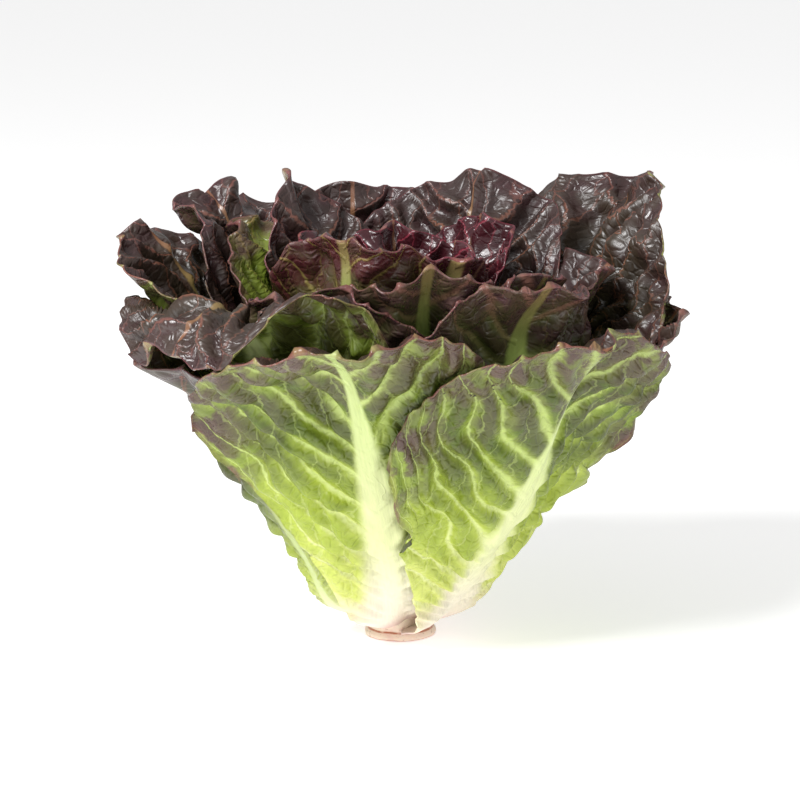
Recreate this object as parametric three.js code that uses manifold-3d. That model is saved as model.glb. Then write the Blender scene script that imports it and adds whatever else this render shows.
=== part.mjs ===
// A small open-hearted red cos lettuce: a cut stem and the leaves that grow from it.
// Millimetres, +Z up. The origin is the middle of the cut face that the head stands on; -Y is the front.
import * as THREE from "three";
import { mergeVertices } from "three/addons/utils/BufferGeometryUtils.js";
import Module from "manifold-3d";

const wasm = await Module();
wasm.setup();

// ---- Driving dimensions ----
const CUT_RADIUS = 14.5; // the cut face at the bottom of the stem
const CUT_HEIGHT = 2.4; // height of the rim left by the knife
const NECK_RADIUS = 10.5; // the stem just above the rim, where the lowest leaves join
const STEM_HEIGHT = 46;
const TIP_RADIUS = 2.2; // the stem's growing tip
const LOWEST_LEAF = 5.5; // height at which the outermost leaf joins the stem
const HIGHEST_LEAF = 42;
const BLADE = 1.0; // thickness of a leaf's blade
const RIB_HEIGHT = 4.2; // how far a midrib stands out of the back of an outer leaf at its base
const RIB_HALF_WIDTH = 8.5;
const CROWN = 0.5; // how far the shoulders of a blade lie below its tip, as a share of its width
const CLEARANCE = 0.9; // least gap between a leaf and the one inside it
const SLIT = 0.35; // half of the gap left where one leaf is trimmed clear of another
const MERGE = 0.01; // slivers finer than this are merged away after a trim

// Leaves are laid out in a fan: rays from a point below the stem, at an angle from the vertical.
const FAN_DROP = 50; // depth of that point under the cut face
const AROUND = 120; // cells of the fan's map around the head
const FAN_START = 44; // nearest distance from the point that the map holds
const FAN_STEP = 3;
const FAN_CELLS = 78;
const SLOPE = 0.9; // how steeply a leaf may ride up over the edge of the one inside it

const ROWS = 24; // steps along a leaf in the layout
const COLUMNS = 24; // steps across it
const THIN = 3; // every third row and column is kept in the solid

const rad = THREE.MathUtils.degToRad;
const lerp = THREE.MathUtils.lerp;
const ease = (x, low, high) => THREE.MathUtils.smoothstep(x, low, high);

// ---- The leaves, from the outside in ----
// az      direction of the midrib at the stem, in degrees, and turn, how far it swings by the tip
// length, width of the blade
// lean    angle from the vertical at the stem, halfway up, and what the top adds
// cup     degrees that each side bends inwards near the top
// ruffle  height of the margin's waves, waves how many, phase where they start
// skew    how far the right edge stands outside the left one
const leaf = (name, az, turn, length, width, lean, cup, ruffle, waves, phase, skew) => ({
  name, az, turn, length, width, lean, cup, ruffle, waves, phase, skew,
});
const LEAVES = [
  leaf("outer_leaf_01", -50, 8, 163, 132, [60, 20, 34], 14, 7, 5, 0.4, -4),
  leaf("outer_leaf_02", -94, -9, 168, 124, [60, 19, 42], 22, 7, 5, 2.1, 5),
  leaf("outer_leaf_03", -150, -10, 143, 92, [60, 21, 12], 20, 6, 5, 1.0, 4),
  leaf("outer_leaf_04", 0, 6, 160, 100, [58, 25, 22], 30, 6, 5, 3.0, -4),
  leaf("outer_leaf_05", 100, 0, 168, 112, [56, 24, 26], 26, 7, 5, 0.2, 4),
  leaf("outer_leaf_06", -136, -6, 194, 124, [52, 8, 138], 4, 7, 6, 4.2, 5),
  leaf("outer_leaf_07", 158, 8, 184, 100, [52, 25, 22], 24, 8, 5, 5.0, 3),
  leaf("outer_leaf_08", 40, -4, 198, 130, [52, 26, 16], 18, 9, 5, 1.7, -3),
  leaf("middle_leaf_01", -52, 4, 156, 106, [46, 16, 28], 20, 7, 5, 2.6, -4),
  leaf("middle_leaf_02", -118, -2, 152, 92, [46, 14, 34], 24, 7, 5, 0.9, 4),
  leaf("middle_leaf_03", 142, 2, 182, 98, [46, 18, 34], 20, 8, 6, 3.9, 3),
  leaf("middle_leaf_04", 12, 0, 150, 100, [46, 20, 20], 22, 7, 5, 0.6, -3),
  leaf("middle_leaf_05", 104, 0, 169, 96, [42, 15, 14], 24, 8, 5, 2.2, 3),
  leaf("middle_leaf_06", -82, 2, 148, 90, [38, 12, 34], 26, 7, 5, 5.4, -3),
  leaf("middle_leaf_07", 66, -2, 170, 98, [38, 18, 16], 28, 8, 5, 4.0, 3),
  leaf("middle_leaf_08", 150, 0, 154, 112, [38, 18, 22], 32, 7, 5, 1.3, 4),
  leaf("middle_leaf_09", -22, 2, 134, 80, [36, 14, 26], 28, 6, 5, 3.3, -4),
  leaf("middle_leaf_10", 136, 2, 154, 66, [32, 15, 8], 34, 6, 5, 0.1, 3),
  leaf("heart_leaf_01", -116, 0, 146, 78, [28, 9, 26], 30, 6, 5, 2.8, 3),
  leaf("heart_leaf_02", 40, 0, 140, 70, [26, 12, 12], 36, 6, 5, 4.6, -3),
  leaf("heart_leaf_03", -60, 0, 132, 62, [24, 8, 24], 34, 6, 5, 1.9, 3),
  leaf("heart_leaf_04", 176, 0, 132, 64, [22, 9, 20], 36, 6, 5, 3.7, 3),
  leaf("heart_leaf_05", 96, 0, 128, 60, [20, 6, 8], 38, 6, 5, 0.7, -3),
  leaf("heart_leaf_06", -10, 0, 124, 52, [18, 6, 12], 38, 5, 5, 5.1, 3),
  leaf("heart_leaf_07", -130, 0, 112, 46, [15, 4, 8], 42, 4, 5, 2.4, 3),
  leaf("heart_leaf_08", 70, 0, 98, 38, [12, 3, 2], 48, 3, 5, 4.4, 3),
];

// ---- Stem ----
const stemRadius = (z) => lerp(NECK_RADIUS, TIP_RADIUS, ease(z, LOWEST_LEAF - 1, STEM_HEIGHT));

function stemGeometry() {
  const profile = [
    [0, 0], [CUT_RADIUS - 0.5, 0], [CUT_RADIUS, 0.6], [CUT_RADIUS - 0.2, CUT_HEIGHT - 0.6],
    [CUT_RADIUS - 1.4, CUT_HEIGHT], [NECK_RADIUS, LOWEST_LEAF - 0.6],
  ];
  const steps = 8;
  for (let i = 1; i <= steps; i++) {
    const z = lerp(LOWEST_LEAF - 0.6, STEM_HEIGHT - 1.5, i / steps);
    profile.push([stemRadius(z), z]);
  }
  profile.push([0, STEM_HEIGHT]);
  const g = new THREE.LatheGeometry(profile.map(([r, z]) => new THREE.Vector2(r, z)), 28);
  return g.rotateX(Math.PI / 2);
}

// ---- One leaf's middle surface ----
// Half-width in mm: a clasping base, then a blade that widens to rounded shoulders.
const halfWidth = (l, u) => {
  const base = lerp(5, 8.5, Math.min(1, l.width / 120));
  return lerp(base, l.width / 2, ease(u, 0.02, 0.95) ** 0.65);
};

function midrib(l, start) {
  const z = lerp(LOWEST_LEAF, HIGHEST_LEAF, start);
  const path = [{ r: stemRadius(z) + 1.6, z }];
  for (let i = 1; i <= ROWS; i++) {
    const u = (i - 0.5) / ROWS;
    const angle = rad(lerp(l.lean[0], l.lean[1], ease(u, 0, 0.42)) + l.lean[2] * ease(u, 0.58, 1.0));
    const last = path[i - 1];
    const step = l.length / ROWS;
    path.push({ r: last.r + step * Math.sin(angle), z: last.z + step * Math.cos(angle), angle });
  }
  path[0].angle = rad(l.lean[0]);
  return path;
}

// The point at u along the leaf (a row) and w across it, from -1 at the left edge to 1 at the right.
function surfacePoint(l, path, row, w) {
  const u = row / ROWS;
  const half = halfWidth(l, u);
  const crown = CROWN * l.width * u ** 2.2; // the top edge is a round arc
  const across = Math.sin((w * Math.PI) / 2);
  const drop = crown * (1 - Math.cos((w * Math.PI) / 2));
  const { r, z, angle } = pathAt(path, row - (drop / l.length) * ROWS);
  const az = rad(l.az + l.turn * ease(u, 0.05, 1));
  const radial = new THREE.Vector3(Math.cos(az), Math.sin(az), 0);
  const side = new THREE.Vector3(Math.sin(az), -Math.cos(az), 0); // to the right, seen from outside
  const out = radial.clone().multiplyScalar(Math.cos(0.6 * angle));
  out.z = -Math.sin(0.6 * angle);
  const bend = rad(lerp(42, l.cup, ease(u, 0.05, 0.6)));
  const x = across * half;
  const turn = across * bend;
  const radius = half / bend;
  const place = radial.clone().multiplyScalar(r);
  place.z = z;
  place.addScaledVector(side, radius * Math.sin(turn));
  place.addScaledVector(out, -radius * (1 - Math.cos(turn)));
  const normal = out.clone().multiplyScalar(Math.cos(turn)).addScaledVector(side, Math.sin(turn));
  return place.addScaledVector(normal, wave(l, u, w) + l.skew * across * ease(u, 0.1, 0.7));
}

function pathAt(path, row) {
  const at = Math.max(0, Math.min(ROWS - 1e-6, row));
  const i = Math.floor(at);
  const f = at - i;
  const [a, b] = [path[i], path[i + 1]];
  return { r: lerp(a.r, b.r, f), z: lerp(a.z, b.z, f), angle: lerp(a.angle, b.angle, f) };
}

// The ruffle: waves that run round the margin and die away towards the middle of the blade.
function wave(l, u, w) {
  const near = ease(Math.max(Math.abs(w), (u - 0.1) / 0.9), 0.45, 1) * ease(u, 0.1, 0.5);
  const round = Math.atan2(w, u - 0.5);
  const large = 0.65 * Math.sin(l.waves * round + l.phase);
  const small = 0.35 * Math.sin(1.9 * l.waves * round + 2 * l.phase);
  return l.ruffle * near * (large + small);
}

// ---- The fan: it keeps each leaf outside those that are further in ----
const toFan = (p) => {
  const up = p.z + FAN_DROP;
  const r = Math.hypot(p.x, p.y);
  return { angle: Math.atan2(r, up), az: Math.atan2(p.y, p.x), far: Math.hypot(r, up) };
};
const fromFan = (f) => new THREE.Vector3(
  f.far * Math.sin(f.angle) * Math.cos(f.az),
  f.far * Math.sin(f.angle) * Math.sin(f.az),
  f.far * Math.cos(f.angle) - FAN_DROP,
);

const cell = (i, j) => {
  const around = ((i % AROUND) + AROUND) % AROUND;
  return around * FAN_CELLS + Math.max(0, Math.min(FAN_CELLS - 1, j));
};
const mapSpot = (f) => [((f.az / (2 * Math.PI)) * AROUND + AROUND) % AROUND, (f.far - FAN_START) / FAN_STEP];

function filled(map, f) {
  const [a, b] = mapSpot(f);
  const [i, j] = [Math.floor(a), Math.floor(b)];
  const low = lerp(map[cell(i, j)], map[cell(i, j + 1)], b - j);
  const high = lerp(map[cell(i + 1, j)], map[cell(i + 1, j + 1)], b - j);
  return lerp(low, high, a - i);
}

function stemMap() {
  const map = new Float64Array(AROUND * FAN_CELLS);
  for (let z = 0; z < STEM_HEIGHT; z += 0.5) {
    const f = toFan(new THREE.Vector3(stemRadius(Math.max(z, LOWEST_LEAF)), 0, z));
    const j = Math.round((f.far - FAN_START) / FAN_STEP);
    for (let i = 0; i < AROUND; i++) map[cell(i, j)] = Math.max(map[cell(i, j)], f.angle);
  }
  return map;
}

// How thick the leaf is at its back, over the middle surface: half the blade, and the midrib.
const backAt = (l, u, w) => {
  const size = l.width / 120;
  const x = Math.abs(Math.sin((w * Math.PI) / 2) * halfWidth(l, u));
  const half = lerp(RIB_HALF_WIDTH * Math.sqrt(size), 1.4, ease(u, 0, 0.9));
  const ridge = Math.max(0, 1 - (x / half) ** 2);
  return BLADE / 2 + lerp(RIB_HEIGHT * size, 0.2, ease(u, 0, 0.85)) * ridge;
};

// Lays a leaf over what the map holds, and adds it to the map. Returns its grid of points.
function lay(l, start, map) {
  const path = midrib(l, start);
  const grid = [];
  const push = [];
  for (let row = 0; row <= ROWS; row++) {
    for (let column = 0; column <= COLUMNS; column++) {
      const f = toFan(surfacePoint(l, path, row, (2 * column) / COLUMNS - 1));
      grid.push(f);
      push.push(Math.max(0, filled(map, f) + (CLEARANCE + BLADE / 2) / f.far - f.angle));
    }
  }
  const eased = smoothed(push);
  grid.forEach((f, k) => { f.angle += eased[k]; });
  addToMap(l, grid, map);
  return grid;
}

// The push, spread to its neighbours so that the blade bends and doesn't crease.
function smoothed(push) {
  const at = (values, r, c) => values[
    Math.max(0, Math.min(ROWS, r)) * (COLUMNS + 1) + Math.max(0, Math.min(COLUMNS, c))];
  const pass = (values, blend) => values.map((v, k) => {
    const [r, c] = [Math.floor(k / (COLUMNS + 1)), k % (COLUMNS + 1)];
    return blend([v, at(values, r - 1, c), at(values, r + 1, c), at(values, r, c - 1), at(values, r, c + 1)]);
  });
  const widest = (near) => Math.max(...near);
  const mean = (near) => near.reduce((sum, x) => sum + x, 0) / near.length;
  return pass(pass(pass(pass(push, widest), widest), mean), mean);
}

function addToMap(l, grid, map) {
  const fine = 4; // samples between two points of the grid
  const at = (r, c) => grid[r * (COLUMNS + 1) + c];
  const made = new Float64Array(map.length);
  for (let row = 0; row < ROWS * fine; row++) {
    for (let column = 0; column < COLUMNS * fine; column++) {
      const [r, c] = [Math.floor(row / fine), Math.floor(column / fine)];
      const [p, q] = [row / fine - r, column / fine - c];
      const corners = [at(r, c), at(r, c + 1), at(r + 1, c), at(r + 1, c + 1)];
      const share = [(1 - p) * (1 - q), (1 - p) * q, p * (1 - q), p * q];
      const mix = (key) => corners.reduce((sum, f, k) => sum + share[k] * f[key], 0);
      const x = corners.reduce((sum, f, k) => sum + share[k] * Math.cos(f.az), 0);
      const y = corners.reduce((sum, f, k) => sum + share[k] * Math.sin(f.az), 0);
      const f = { angle: mix("angle"), far: mix("far"), az: Math.atan2(y, x) };
      const back = backAt(l, row / fine / ROWS, (2 * column) / fine / COLUMNS - 1) / f.far;
      const [a, b] = mapSpot(f);
      for (const i of [Math.floor(a), Math.floor(a) + 1]) {
        for (const j of [Math.floor(b), Math.floor(b) + 1]) {
          made[cell(i, j)] = Math.max(made[cell(i, j)], f.angle + back);
        }
      }
    }
  }
  spread(made);
  made.forEach((v, k) => { map[k] = Math.max(map[k], v); });
}

// Beyond a leaf's edge the map falls away at SLOPE, so that the next leaf has no step to cross.
function spread(map) {
  const passes = 8;
  for (let pass = 0; pass < passes; pass++) {
    const before = map.slice();
    for (let i = 0; i < AROUND; i++) {
      for (let j = 0; j < FAN_CELLS; j++) {
        const far = FAN_START + j * FAN_STEP;
        const fallOut = (SLOPE * FAN_STEP) / far;
        const here = before[cell(i, j)];
        const width = (2 * Math.PI * Math.sin(here || 0.3)) / AROUND; // of a cell, over its distance
        const sides = Math.max(before[cell(i - 1, j)], before[cell(i + 1, j)]) - SLOPE * width;
        const beyond = j + 1 < FAN_CELLS ? before[cell(i, j + 1)] : 0;
        const ends = Math.max(before[cell(i, j - 1)], beyond) - fallOut;
        map[cell(i, j)] = Math.max(here, sides, ends);
      }
    }
  }
}

// ---- From the grid to a closed solid ----
function solidOf(l, grid, grow) {
  const across = COLUMNS / THIN + 1;
  const down = ROWS / THIN + 1;
  const point = (r, c) => fromFan(grid[
    Math.max(0, Math.min(ROWS, r)) * (COLUMNS + 1) + Math.max(0, Math.min(COLUMNS, c))]);
  const vertices = [];
  for (const back of [true, false]) {
    for (let i = 0; i < down; i++) {
      for (let k = 0; k < across; k++) {
        const [r, c] = [i * THIN, k * THIN];
        const along = point(r + THIN, c).sub(point(r - THIN, c));
        const over = point(r, c + THIN).sub(point(r, c - THIN));
        const normal = over.cross(along).normalize(); // out of the head
        const thick = back ? backAt(l, r / ROWS, (2 * c) / COLUMNS - 1) + grow : -(BLADE / 2 + grow);
        vertices.push(...point(r, c).addScaledVector(normal, thick));
      }
    }
  }
  const id = (side, i, k) => side * down * across + i * across + k;
  const faces = [];
  const quad = (a, b, c, d) => faces.push(a, b, c, a, c, d);
  for (let i = 0; i + 1 < down; i++) {
    for (let k = 0; k + 1 < across; k++) {
      quad(id(0, i, k), id(0, i, k + 1), id(0, i + 1, k + 1), id(0, i + 1, k));
      quad(id(1, i, k), id(1, i + 1, k), id(1, i + 1, k + 1), id(1, i, k + 1));
    }
    quad(id(0, i, 0), id(0, i + 1, 0), id(1, i + 1, 0), id(1, i, 0));
    quad(id(0, i, across - 1), id(1, i, across - 1), id(1, i + 1, across - 1), id(0, i + 1, across - 1));
  }
  for (let k = 0; k + 1 < across; k++) {
    quad(id(0, 0, k), id(1, 0, k), id(1, 0, k + 1), id(0, 0, k + 1));
    quad(id(0, down - 1, k), id(0, down - 1, k + 1), id(1, down - 1, k + 1), id(1, down - 1, k));
  }
  return new wasm.Manifold(new wasm.Mesh({
    numProp: 3,
    vertProperties: new Float32Array(vertices),
    triVerts: new Uint32Array(faces),
  }));
}

const solidOfGeometry = (geometry) => {
  const g = geometry.clone();
  g.deleteAttribute("normal");
  g.deleteAttribute("uv");
  const merged = mergeVertices(g, 1e-3);
  return new wasm.Manifold(new wasm.Mesh({
    numProp: 3,
    vertProperties: merged.attributes.position.array,
    triVerts: new Uint32Array(merged.index.array),
  }));
};

function geometryOf(solid) {
  const { vertProperties, triVerts } = solid.getMesh();
  return new THREE.BufferGeometry()
    .setAttribute("position", new THREE.BufferAttribute(vertProperties, 3))
    .setIndex(new THREE.BufferAttribute(triVerts, 1));
}

const biggestBody = (solid) => solid.decompose().sort((p, q) => q.volume() - p.volume())[0];

// ---- Assembly ----
const lettuce = new THREE.Group();
lettuce.name = "lettuce";

const stem = stemGeometry();
const map = stemMap();
const laid = [];
for (let k = LEAVES.length - 1; k >= 0; k--) {
  const l = LEAVES[k];
  const grid = lay(l, k / (LEAVES.length - 1), map);
  laid.push({ l, solid: solidOf(l, grid, 0), grown: solidOf(l, grid, SLIT) });
}

// A leaf that still touches one laid before it is trimmed clear of it.
const stemSolid = solidOfGeometry(stem);
laid.forEach((a, i) => {
  for (const b of laid.slice(0, i)) {
    if (a.solid.intersect(b.grown).volume() > 0) {
      a.solid = a.solid.subtract(b.grown).subtract(b.solid);
    }
  }
  a.solid = a.grown.intersect(stemSolid).volume() > 0 ? a.solid.subtract(stemSolid) : a.solid;
  a.solid = biggestBody(solidOfGeometry(geometryOf(a.solid.simplify(MERGE))));
});

const skin = (color, roughness) => new THREE.MeshStandardMaterial({ color, roughness, metalness: 0 });
const stemMesh = new THREE.Mesh(stem, skin(0xf1e3cf, 0.6));
stemMesh.name = "stem";
lettuce.add(stemMesh);
for (const { l, solid } of laid) {
  const color = l.name.startsWith("outer") ? 0x7d9440 : l.name.startsWith("middle") ? 0x4c3a33 : 0x57222e;
  const mesh = new THREE.Mesh(geometryOf(solid), skin(color, 0.4));
  mesh.name = l.name;
  lettuce.add(mesh);
}

export default lettuce;
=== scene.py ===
# %% [markdown]
# # A small red cos lettuce
# The head stands on its cut stem. Its leaves open like a bowl: pale ribs and crinkled green blades at
# the bottom, blistered dark red ones at the top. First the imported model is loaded: every piece below
# is made in its frame, in metres, and stands for one of its nodes.

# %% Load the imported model
import math

import bpy
import mathutils
import numpy as np
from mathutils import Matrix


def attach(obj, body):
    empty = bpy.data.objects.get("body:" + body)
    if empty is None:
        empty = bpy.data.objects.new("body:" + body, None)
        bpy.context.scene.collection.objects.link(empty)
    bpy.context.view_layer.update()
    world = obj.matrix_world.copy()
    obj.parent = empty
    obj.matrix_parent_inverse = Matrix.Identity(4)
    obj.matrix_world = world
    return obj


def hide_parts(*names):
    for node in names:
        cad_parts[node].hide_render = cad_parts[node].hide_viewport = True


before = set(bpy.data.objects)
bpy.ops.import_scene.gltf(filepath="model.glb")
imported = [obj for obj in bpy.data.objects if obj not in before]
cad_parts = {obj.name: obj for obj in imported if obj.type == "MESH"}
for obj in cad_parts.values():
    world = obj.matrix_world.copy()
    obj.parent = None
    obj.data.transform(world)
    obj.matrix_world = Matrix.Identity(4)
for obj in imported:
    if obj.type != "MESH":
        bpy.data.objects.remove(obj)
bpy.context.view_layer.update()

# %% [markdown]
# ## Measures
# A leaf is laid out in millimetres on a sheet of rows, from its foot to its tip, and columns, from its
# left margin to its right. The same few numbers per leaf drive the solids, so the fine leaves made
# here lie in the same places.

# %% Measures of the stem and the leaves
CUT_RADIUS, CUT_HEIGHT = 14.5, 2.4  # the cut face, and the rim left by the knife
NECK_RADIUS, TIP_RADIUS, STEM_HEIGHT = 10.5, 2.2, 46.0
LOWEST_LEAF, HIGHEST_LEAF = 5.5, 42.0  # where the outermost and the innermost leaf join the stem
BLADE, CLEARANCE = 1.0, 0.9  # a solid leaf's thickness, and the least gap to the next
RIB_HEIGHT, RIB_HALF_WIDTH = 4.2, 8.5  # of the midrib at the foot of a leaf 120 mm wide
CROWN = 0.5  # how far the shoulders lie below the tip, in widths
ROWS, COLUMNS = 24, 24  # steps of the layout along a leaf and across it
FAN_DROP = 50.0  # depth of the fan's point under the cut face

# name, direction, turn, length, width, lean (foot, middle, tip), cup, ruffle, waves, phase, skew
LEAVES = [
    ("outer_leaf_01", -50, 8, 163, 132, (60, 20, 34), 14, 7, 5, 0.4, -4),
    ("outer_leaf_02", -94, -9, 168, 124, (60, 19, 42), 22, 7, 5, 2.1, 5),
    ("outer_leaf_03", -150, -10, 143, 92, (60, 21, 12), 20, 6, 5, 1.0, 4),
    ("outer_leaf_04", 0, 6, 160, 100, (58, 25, 22), 30, 6, 5, 3.0, -4),
    ("outer_leaf_05", 100, 0, 168, 112, (56, 24, 26), 26, 7, 5, 0.2, 4),
    ("outer_leaf_06", -136, -6, 194, 124, (52, 8, 138), 4, 7, 6, 4.2, 5),
    ("outer_leaf_07", 158, 8, 184, 100, (52, 25, 22), 24, 8, 5, 5.0, 3),
    ("outer_leaf_08", 40, -4, 198, 130, (52, 26, 16), 18, 9, 5, 1.7, -3),
    ("middle_leaf_01", -52, 4, 156, 106, (46, 16, 28), 20, 7, 5, 2.6, -4),
    ("middle_leaf_02", -118, -2, 152, 92, (46, 14, 34), 24, 7, 5, 0.9, 4),
    ("middle_leaf_03", 142, 2, 182, 98, (46, 18, 34), 20, 8, 6, 3.9, 3),
    ("middle_leaf_04", 12, 0, 150, 100, (46, 20, 20), 22, 7, 5, 0.6, -3),
    ("middle_leaf_05", 104, 0, 169, 96, (42, 15, 14), 24, 8, 5, 2.2, 3),
    ("middle_leaf_06", -82, 2, 148, 90, (38, 12, 34), 26, 7, 5, 5.4, -3),
    ("middle_leaf_07", 66, -2, 170, 98, (38, 18, 16), 28, 8, 5, 4.0, 3),
    ("middle_leaf_08", 150, 0, 154, 112, (38, 18, 22), 32, 7, 5, 1.3, 4),
    ("middle_leaf_09", -22, 2, 134, 80, (36, 14, 26), 28, 6, 5, 3.3, -4),
    ("middle_leaf_10", 136, 2, 154, 66, (32, 15, 8), 34, 6, 5, 0.1, 3),
    ("heart_leaf_01", -116, 0, 146, 78, (28, 9, 26), 30, 6, 5, 2.8, 3),
    ("heart_leaf_02", 40, 0, 140, 70, (26, 12, 12), 36, 6, 5, 4.6, -3),
    ("heart_leaf_03", -60, 0, 132, 62, (24, 8, 24), 34, 6, 5, 1.9, 3),
    ("heart_leaf_04", 176, 0, 132, 64, (22, 9, 20), 36, 6, 5, 3.7, 3),
    ("heart_leaf_05", 96, 0, 128, 60, (20, 6, 8), 38, 6, 5, 0.7, -3),
    ("heart_leaf_06", -10, 0, 124, 52, (18, 6, 12), 38, 5, 5, 5.1, 3),
    ("heart_leaf_07", -130, 0, 112, 46, (15, 4, 8), 42, 4, 5, 2.4, 3),
    ("heart_leaf_08", 70, 0, 98, 38, (12, 3, 2), 48, 3, 5, 4.4, 3),
]
KEYS = "name az turn length width lean cup ruffle waves phase skew".split()
leaves = [dict(zip(KEYS, row), start=k / (len(LEAVES) - 1)) for k, row in enumerate(LEAVES)]
print(len(leaves), "leaves")


# %% Small helpers with numbers
def lerp(a, b, t):
    return a + (b - a) * t


def ease(x, low, high):
    t = np.clip((x - low) / (high - low), 0, 1)
    return t * t * (3 - 2 * t)


def stem_radius(z):
    return lerp(NECK_RADIUS, TIP_RADIUS, ease(z, LOWEST_LEAF - 1, STEM_HEIGHT))


def waves_of(seed, count, low, high):
    """Smooth noise from a few crossed sine waves: low and high are its wavelengths in mm."""
    rng = np.random.default_rng(seed)
    turn = rng.uniform(0, 2 * math.pi, (count, 2))
    size = 2 * math.pi / rng.uniform(low, high, count)

    def noise(x, y):
        total = 0
        for (a, shift), k in zip(turn, size):
            total = total + np.sin(k * (x * math.cos(a) + y * math.sin(a)) + shift)
        return total / math.sqrt(count)

    return noise


# %% [markdown]
# ## The surface of a leaf
# A leaf grows along a midrib that leans out at the foot, stands up, and leans out again at the tip.
# Across it the blade bends round the heart, and its margin is ruffled. A function of rows and columns
# gives all of that at any fineness, which modelling by hand could not repeat for every leaf.

# %% A leaf's surface
def half_width(leaf, u):
    base = lerp(5, 8.5, min(1, leaf["width"] / 120))
    return lerp(base, leaf["width"] / 2, ease(u, 0.02, 0.95) ** 0.65)


def midrib(leaf):
    z = lerp(LOWEST_LEAF, HIGHEST_LEAF, leaf["start"])
    u = (np.arange(1, ROWS + 1) - 0.5) / ROWS
    foot, middle, tip = leaf["lean"]
    angle = np.radians(lerp(foot, middle, ease(u, 0, 0.42)) + tip * ease(u, 0.58, 1.0))
    step = leaf["length"] / ROWS
    r = stem_radius(z) + 1.6 + np.concatenate([[0], np.cumsum(step * np.sin(angle))])
    z = z + np.concatenate([[0], np.cumsum(step * np.cos(angle))])
    return r, z, np.concatenate([[math.radians(foot)], angle])


def leaf_wave(leaf, u, w):
    near = ease(np.maximum(np.abs(w), (u - 0.1) / 0.9), 0.45, 1) * ease(u, 0.1, 0.5)
    around = np.arctan2(w, u - 0.5)
    n, shift = leaf["waves"], leaf["phase"]
    swell = 0.65 * np.sin(n * around + shift) + 0.35 * np.sin(1.9 * n * around + 2 * shift)
    return leaf["ruffle"] * near * swell


def surface(leaf, u, w, half_scale=1.0, row_shift=0.0):
    half = half_width(leaf, u) * half_scale
    across = np.sin(w * math.pi / 2)
    drop = CROWN * leaf["width"] * u ** 2.2 * (1 - np.cos(w * math.pi / 2))
    row = np.clip(u * ROWS - drop / leaf["length"] * ROWS + row_shift, 0, ROWS + 2)
    path_r, path_z, path_angle = midrib(leaf)
    steps = np.arange(ROWS + 1)
    beyond = np.maximum(row - ROWS, 0) * leaf["length"] / ROWS
    r = np.interp(row, steps, path_r) + beyond * math.sin(path_angle[-1])
    z = np.interp(row, steps, path_z) + beyond * math.cos(path_angle[-1])
    angle = np.interp(row, steps, path_angle)
    az = np.radians(leaf["az"] + leaf["turn"] * ease(u, 0.05, 1))
    zero = np.zeros_like(az + w)
    radial = np.stack([np.cos(az) + zero, np.sin(az) + zero, zero], -1)
    side = np.stack([np.sin(az) + zero, -np.cos(az) + zero, zero], -1)
    out = radial * np.cos(0.6 * angle)[..., None]
    out[..., 2] = -np.sin(0.6 * angle)
    bend = np.radians(lerp(42, leaf["cup"], ease(u, 0.05, 0.6)))
    turn = across * bend
    radius = half / bend
    place = radial * r[..., None]
    place[..., 2] = z
    place += side * (radius * np.sin(turn))[..., None] - out * (radius * (1 - np.cos(turn)))[..., None]
    normal = out * np.cos(turn)[..., None] + side * np.sin(turn)[..., None]
    lift = leaf_wave(leaf, u, w) + leaf["skew"] * across * ease(u, 0.1, 0.7)
    return place + normal * lift[..., None]


# %% [markdown]
# ## Keeping the leaves apart
# Leaves that pack a head touch but never pass through each other. The head is looked at as a fan of
# rays from a point below the stem. A map keeps, for each direction and distance, how far out the
# leaves laid so far reach, and each new leaf is pushed outside it, from the heart outwards.

# %% The fan and its map
def to_fan(p):
    up = p[..., 2] + FAN_DROP
    r = np.hypot(p[..., 0], p[..., 1])
    return np.arctan2(r, up), np.arctan2(p[..., 1], p[..., 0]), np.hypot(r, up)


def from_fan(angle, az, far):
    return np.stack([far * np.sin(angle) * np.cos(az), far * np.sin(angle) * np.sin(az),
                     far * np.cos(angle) - FAN_DROP], -1)


class FanMap:
    def __init__(self, around, start, step, cells, slope, passes):
        self.around, self.start, self.step, self.cells = around, start, step, cells
        self.slope, self.passes = slope, passes
        self.held = np.zeros((around, cells))

    def spot(self, az, far):
        return (az / (2 * math.pi) * self.around) % self.around, (far - self.start) / self.step

    def filled(self, az, far):
        a, b = self.spot(az, far)
        i, j = np.floor(a).astype(int), np.floor(b).astype(int)
        i0, i1 = i % self.around, (i + 1) % self.around
        j0, j1 = np.clip(j, 0, self.cells - 1), np.clip(j + 1, 0, self.cells - 1)
        low = lerp(self.held[i0, j0], self.held[i0, j1], b - j)
        high = lerp(self.held[i1, j0], self.held[i1, j1], b - j)
        return lerp(low, high, a - i)

    def add(self, angle, az, far):
        made = np.zeros_like(self.held)
        a, b = self.spot(az, far)
        i, j = np.floor(a).astype(int), np.floor(b).astype(int)
        for di in (0, 1):
            for dj in (0, 1):
                np.maximum.at(made, ((i + di) % self.around, np.clip(j + dj, 0, self.cells - 1)), angle)
        distance = self.start + np.arange(self.cells) * self.step
        for _ in range(self.passes):
            width = 2 * math.pi * np.sin(np.where(made > 0, made, 0.3)) / self.around
            sides = np.maximum(np.roll(made, 1, 0), np.roll(made, -1, 0)) - self.slope * width
            inward = np.concatenate([made[:, :1], made[:, :-1]], 1)
            outward = np.concatenate([made[:, 1:], np.zeros_like(made[:, :1])], 1)
            ends = np.maximum(inward, outward) - self.slope * self.step / distance
            made = np.maximum(made, np.maximum(sides, ends))
        self.held = np.maximum(self.held, made)


def stem_in(fan):
    for z in np.arange(0, STEM_HEIGHT, 0.5):
        point = np.array([stem_radius(max(z, LOWEST_LEAF)), 0, z])
        angle, _, far = to_fan(point)
        j = int(np.clip(round((far - fan.start) / fan.step), 0, fan.cells - 1))
        fan.held[:, j] = np.maximum(fan.held[:, j], angle)


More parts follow.
